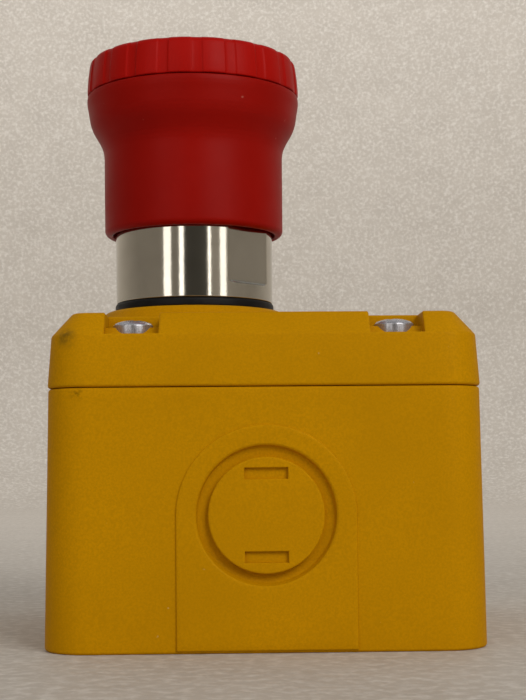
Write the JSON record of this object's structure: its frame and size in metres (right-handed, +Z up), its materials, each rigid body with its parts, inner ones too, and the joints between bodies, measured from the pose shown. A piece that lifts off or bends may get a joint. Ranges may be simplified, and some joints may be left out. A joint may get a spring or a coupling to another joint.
{
  "type": "emergency stop button",
  "caption": "Mushroom-head emergency stop push button, twist to release, on a rounded plastic wall box with a cable knock-out and contact blocks inside.",
  "frame": {"origin": "centre of the box's floor, on the plane that lies against the wall", "axes": "+Z up along the button axis, away from the wall; -Y faces out of the wall with the marked cable knock-out; the button is off centre towards -X"},
  "size_m": [0.076, 0.0768, 0.1094],
  "materials": {
    "yellow_plastic": "fine moulded grain, satin",
    "red_plastic": "smooth, semi-gloss",
    "collar_metal": "polished, slightly brushed round",
    "black_rubber": "matte",
    "zinc_steel": "bright zinc",
    "spring_steel": "drawn wire",
    "brass": "plain, silver-faced tips",
    "stem_plastic": "satin",
    "block_plastic": "satin",
    "nc_plastic": "satin",
    "no_plastic": "satin"
  },
  "bodies": {
    "enclosure": {"base_box": "yellow_plastic", "lid": "yellow_plastic", "lid_seal": "black_rubber", "lid_screws": "zinc_steel", "collar": "collar_metal", "panel_gasket": "black_rubber", "locking_nut": "zinc_steel", "latch_ring": "spring_steel", "adapter": "block_plastic", "clamp_screws": "zinc_steel", "return_spring": "spring_steel", "nc_housing": "block_plastic", "nc_fixed_contacts": "brass", "nc_terminal_screws": "zinc_steel", "nc_clamps": "zinc_steel", "nc_spring": "spring_steel", "no_housing": "block_plastic", "no_fixed_contacts": "brass", "no_terminal_screws": "zinc_steel", "no_clamps": "zinc_steel", "no_spring": "spring_steel"},
    "stem": {"stem": "stem_plastic", "stem_seal": "black_rubber", "stem_foot": "block_plastic", "foot_screw": "zinc_steel", "head_washer": "zinc_steel", "head_screw": "zinc_steel"},
    "head": {"head_bell": "red_plastic", "head_cap": "red_plastic", "twist_spring": "spring_steel"},
    "nc_actuator": {"nc_plunger": "nc_plastic", "nc_bridge": "brass"},
    "no_actuator": {"no_plunger": "no_plastic", "no_bridge": "brass"}
  },
  "joints": [
    {"name": "press", "type": "slide", "parent": "enclosure", "child": "stem", "axis": [0, 0, -1], "range_m": [0, 0.005], "stiffness_N_per_m": 3000, "springref_m": -0.002, "deforming": ["return_spring"]},
    {"name": "twist", "type": "hinge", "parent": "stem", "child": "head", "pos_m": [-0.0126, 0, 0.09], "axis": [0, 0, -1], "range_deg": [0, 45], "stiffness_Nm_per_rad": 0.05},
    {"name": "nc_press", "type": "slide", "parent": "enclosure", "child": "nc_actuator", "axis": [0, 0, -1], "range_m": [0, 0.005], "stiffness_N_per_m": 400, "deforming": ["nc_spring"]},
    {"name": "no_press", "type": "slide", "parent": "enclosure", "child": "no_actuator", "axis": [0, 0, -1], "range_m": [0, 0.005], "stiffness_N_per_m": 400, "deforming": ["no_spring"]}
  ],
  "couplings": [
    {"joint": "nc_press", "follows": "press", "ratio": 1},
    {"joint": "no_press", "follows": "press", "ratio": 1}
  ]
}
